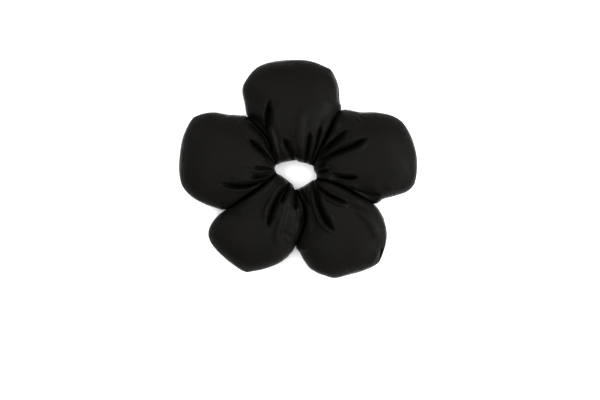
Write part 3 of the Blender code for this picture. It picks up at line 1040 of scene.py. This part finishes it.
def gap_ends(path):
    """The path without a small gap at either end."""
    path = [point.copy() for point in path]
    path[0] += (path[1] - path[0]).normalized() * END_GAP
    path[-1] += (path[-2] - path[-1]).normalized() * END_GAP
    return path


def path_length(path):
    """The length of a path of points, in millimetres."""
    return sum((b - a).length for a, b in zip(path, path[1:])) / MM


for petal in PETALS:
    after = neighbours(petal)[1]
    path = gap_ends(elastic_path(petal, after))
    link = sweep(f"elastic_{petal}_to_{after}", path, lambda t: band_section(), ELASTIC)
    if (petal, after) == OPEN_LINK:
        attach(link, f"loop_{petal}")
    else:
        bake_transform(link)
    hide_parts(f"elastic_{petal}")
    print("elastic from petal", petal, "to petal", after, "is", round(path_length(path), 1), "mm long")

# %% The lap that closes the loop
LAP_HALF = 6.0 * MM
LAP_INWARD = 1.3 * MM  # the second layer lies this far inside the first
lap_path = [run_point(1) + run_direction(1) * LAP_HALF * k / 4 for k in range(-4, 5)]
lap = sweep("elastic_lap", lap_path, lambda t: band_section(LAP_INWARD), ELASTIC)
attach(lap, "loop_1")
print("the lap is", round(path_length(lap_path), 1), "mm long")


# %% Thread material
TWIST = 1.6 * MM  # a real thread turns about once in 0.8 mm; drawn twice as long, so that it shows


def thread_material():
    """Spun polyester thread: black and slightly fuzzy, with the slanting lines of its twist."""
    material, tree = blank_material("spun_polyester_thread")
    place = node(tree, "ShaderNodeTexCoord").outputs["Object"]
    twist = node(tree, "ShaderNodeTexWave", {"wave_type": "BANDS", "bands_direction": "DIAGONAL"},
                 Vector=place, Scale=WAVE_REPEAT / TWIST)
    tone = node(tree, "ShaderNodeMix", {"data_type": "RGBA"}, Factor=twist.outputs[0],
                _6=linear("#101011"), _7=linear("#2A2A2B"))
    relief = node(tree, "ShaderNodeBump", Strength=0.6, Distance=0.1 * MM, Height=twist.outputs[0])
    shader = node(tree, "ShaderNodeBsdfPrincipled", Base_Color=tone.outputs[2], Roughness=0.6,
                  Normal=relief.outputs[0], Sheen_Weight=0.2)
    node(tree, "ShaderNodeOutputMaterial", Surface=shader.outputs[0])
    return material


THREAD = thread_material()
print("thread: a turn of twist every", round(TWIST / MM, 1), "mm")

# %% Bar tacks
THREAD_RADIUS, TURNS = 0.2 * MM, 6
REACH_OUT, REACH_IN = 0.95 * MM, 2.25 * MM  # from the middle of the band to the thread, round both layers


def bar_tack(number):
    """A few turns of thread round both layers of the lap, side by side, as one long stitch."""
    low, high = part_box(f"elastic_bar_tack_{number}")
    centre = (low + high) / 2
    along, up = run_direction(1), Vector((0, 0, 1))
    outward = along.cross(up)
    height = ELASTIC_HIGH / 2 + 0.3 * MM
    here = run_point(1) + along * (centre - run_point(1)).dot(along)
    once_round = ((REACH_OUT, -1, -1), (REACH_OUT, 1, 0), (-REACH_IN, 1, 0), (-REACH_IN, -1, 1))
    path = []
    for turn in range(TURNS):
        shift = along * (turn - (TURNS - 1) / 2) * THREAD_RADIUS * 1.25
        lean = along * THREAD_RADIUS * 0.6
        for out, rise, slip in once_round:
            path.append(here + shift + lean * slip + outward * out + up * height * rise)
    curve = bpy.data.curves.new(f"bar_tack_{number}", "CURVE")
    curve.dimensions = "3D"
    spline = curve.splines.new("NURBS")
    spline.points.add(len(path) - 1)
    for point, place in zip(spline.points, path):
        point.co = (*place, 1)
    spline.order_u = 3
    spline.use_endpoint_u = True
    curve.bevel_depth = THREAD_RADIUS
    curve.bevel_resolution = 2
    curve.use_fill_caps = True
    curve.materials.append(THREAD)
    tack = add_object(f"bar_tack_{number}", curve)
    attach(tack, "loop_1")
    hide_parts(f"elastic_bar_tack_{number}")


bar_tack(1)
bar_tack(2)
print("two bar tacks of", TURNS, "turns each")

# %% Gathered necks
NECK_HIGH, NECK_WIDE = 3.7, 2.9  # half sizes of the sleeve over the band
RUFFLE, RUFFLE_DEPTH = 1.7, 0.55
NECK_SIDES = 28
NECK_RING = 0.35 * MM  # the spacing of its rings, about five to a ruffle
TUCKED = 3.4 * MM  # each end stops this far from the middle of a petal's channel


def ruffled_section(t, length, seed):
    """One ring of the sleeve: ruffles run round it, and each ring is a little out of true."""
    ring = []
    for j in range(NECK_SIDES):
        angle = 2 * math.pi * j / NECK_SIDES
        place = Vector((math.cos(angle) * 2 + seed * 7, math.sin(angle) * 2, t * length / RUFFLE * 0.8))
        phase = 2 * math.pi * t * length / RUFFLE + 2.2 * noise.noise(place)
        swell = RUFFLE_DEPTH * (math.sin(phase) + 0.4 * noise.noise(place * 2.3))
        ring.append(((NECK_WIDE + swell) * math.cos(angle) * MM, (NECK_HIGH + swell) * math.sin(angle) * MM))
    return ring


def neck_path(first, second):
    """From inside one channel to inside the next, finely divided for the ruffles."""
    coarse = elastic_path(first, second, 24)
    ends = (first,) if (first, second) == OPEN_LINK else (first, second)
    if first == OPEN_LINK[1]:
        coarse = coarse[4:]
    inside = [point for point in coarse if min((point - run_point(k)).length for k in ends) > TUCKED]
    fine = []
    for a, b in zip(inside, inside[1:]):
        pieces = max(1, round((b - a).length / NECK_RING))
        fine += [a.lerp(b, k / pieces) for k in range(pieces)]
    return fine + [inside[-1]]


def make_neck(first, second):
    """The sleeve between two petals. Returns its length in millimetres."""
    path = neck_path(first, second)
    length = path_length(path)
    name = f"gathered_neck_{first}_{second}"
    neck = sweep(name, path, lambda t: ruffled_section(t, length, first), BLACK_SATIN)
    if (first, second) == OPEN_LINK:
        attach(neck, f"loop_{first}")
    else:
        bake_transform(neck)
    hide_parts(f"neck_{first}_{second}")
    return length


for petal in PETALS:
    after = neighbours(petal)[1]
    print("neck from petal", petal, "to petal", after, "is", round(make_neck(petal, after), 1), "mm long")
